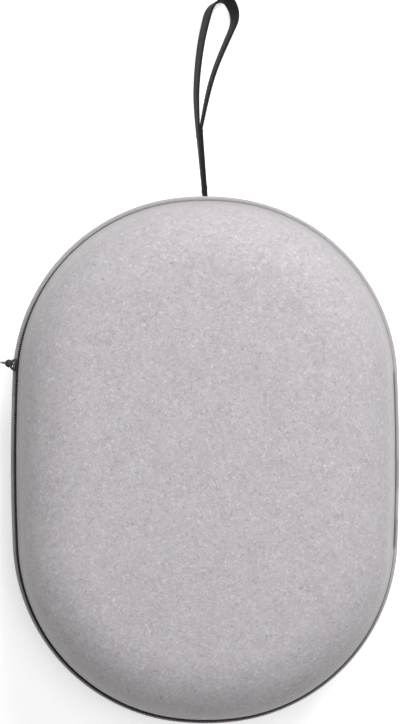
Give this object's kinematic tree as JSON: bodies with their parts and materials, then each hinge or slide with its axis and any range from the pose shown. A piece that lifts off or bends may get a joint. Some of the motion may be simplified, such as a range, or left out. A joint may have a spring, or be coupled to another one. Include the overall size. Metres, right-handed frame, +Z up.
{
  "type": "headphone carrying case",
  "caption": "Zipped clamshell case of felt-covered foam board with a fabric hinge, a foam nest, a mesh lid pocket and a wrist strap.",
  "frame": {"origin": "centre of the flat back that the case lies on", "axes": "+Z up through the lid, +Y along the case towards the wrist strap, +X towards the hinge side"},
  "size_m": [0.2131, 0.392, 0.112],
  "materials": {
    "felt": "matte melange felt",
    "eva_board": "closed-cell foam board",
    "lining": "brushed knit",
    "twill_piping": "fine twill",
    "zip_fabric": "woven tape",
    "zip_coil": "nylon coil",
    "binding_tape": "bias tape",
    "nest_foam": "moulded foam under knit",
    "hinge_fabric": "woven tape",
    "zip_metal": "black enamel",
    "webbing": "narrow webbing",
    "mesh": "open knit mesh",
    "elastic": "woven elastic",
    "pull_cord": "braided cord",
    "pull_rubber": "moulded rubber"
  },
  "bodies": {
    "base": {"base_cover": "felt", "base_shell": "eva_board", "base_lining": "lining", "base_piping": "twill_piping", "base_zip_tape": "zip_fabric", "base_zip_coil": "zip_coil", "base_binding": "binding_tape", "nest_base": "nest_foam", "nest_ring": "nest_foam", "nest_island": "nest_foam", "hinge_web": "hinge_fabric", "zip_end_stops": "zip_metal", "strap_anchor": "webbing", "strap_stem": "webbing", "wrist_loop": "webbing"},
    "lid": {"lid_cover": "felt", "lid_shell": "eva_board", "lid_lining": "lining", "lid_zip_tape": "zip_fabric", "lid_zip_coil": "zip_coil", "lid_binding": "binding_tape", "mesh_pocket": "mesh", "pocket_binding": "binding_tape", "pocket_elastic": "elastic"},
    "slider": {"slider_body": "zip_metal", "slider_bridge": "zip_metal"},
    "pull": {"pull_loop": "pull_cord", "pull_tab": "pull_rubber"}
  },
  "joints": [
    {"name": "lid_hinge", "type": "hinge", "parent": "base", "child": "lid", "pos_m": [0.1031, 0, 0.057], "axis": [0, 1, 0], "range_deg": [0, 180], "deforming": ["hinge_web"]},
    {"name": "zip_travel", "type": "hinge", "parent": "base", "child": "slider", "pos_m": [-0.00385, 0.04127, 0.057], "axis": [0, 0, -1], "range_deg": [0, 74]},
    {"name": "pull_swing", "type": "hinge", "parent": "slider", "child": "pull", "pos_m": [-0.10248, 0.05042, 0.057], "axis": [0.0924, 0.9957, 0], "range_deg": [0, 110]}
  ]
}
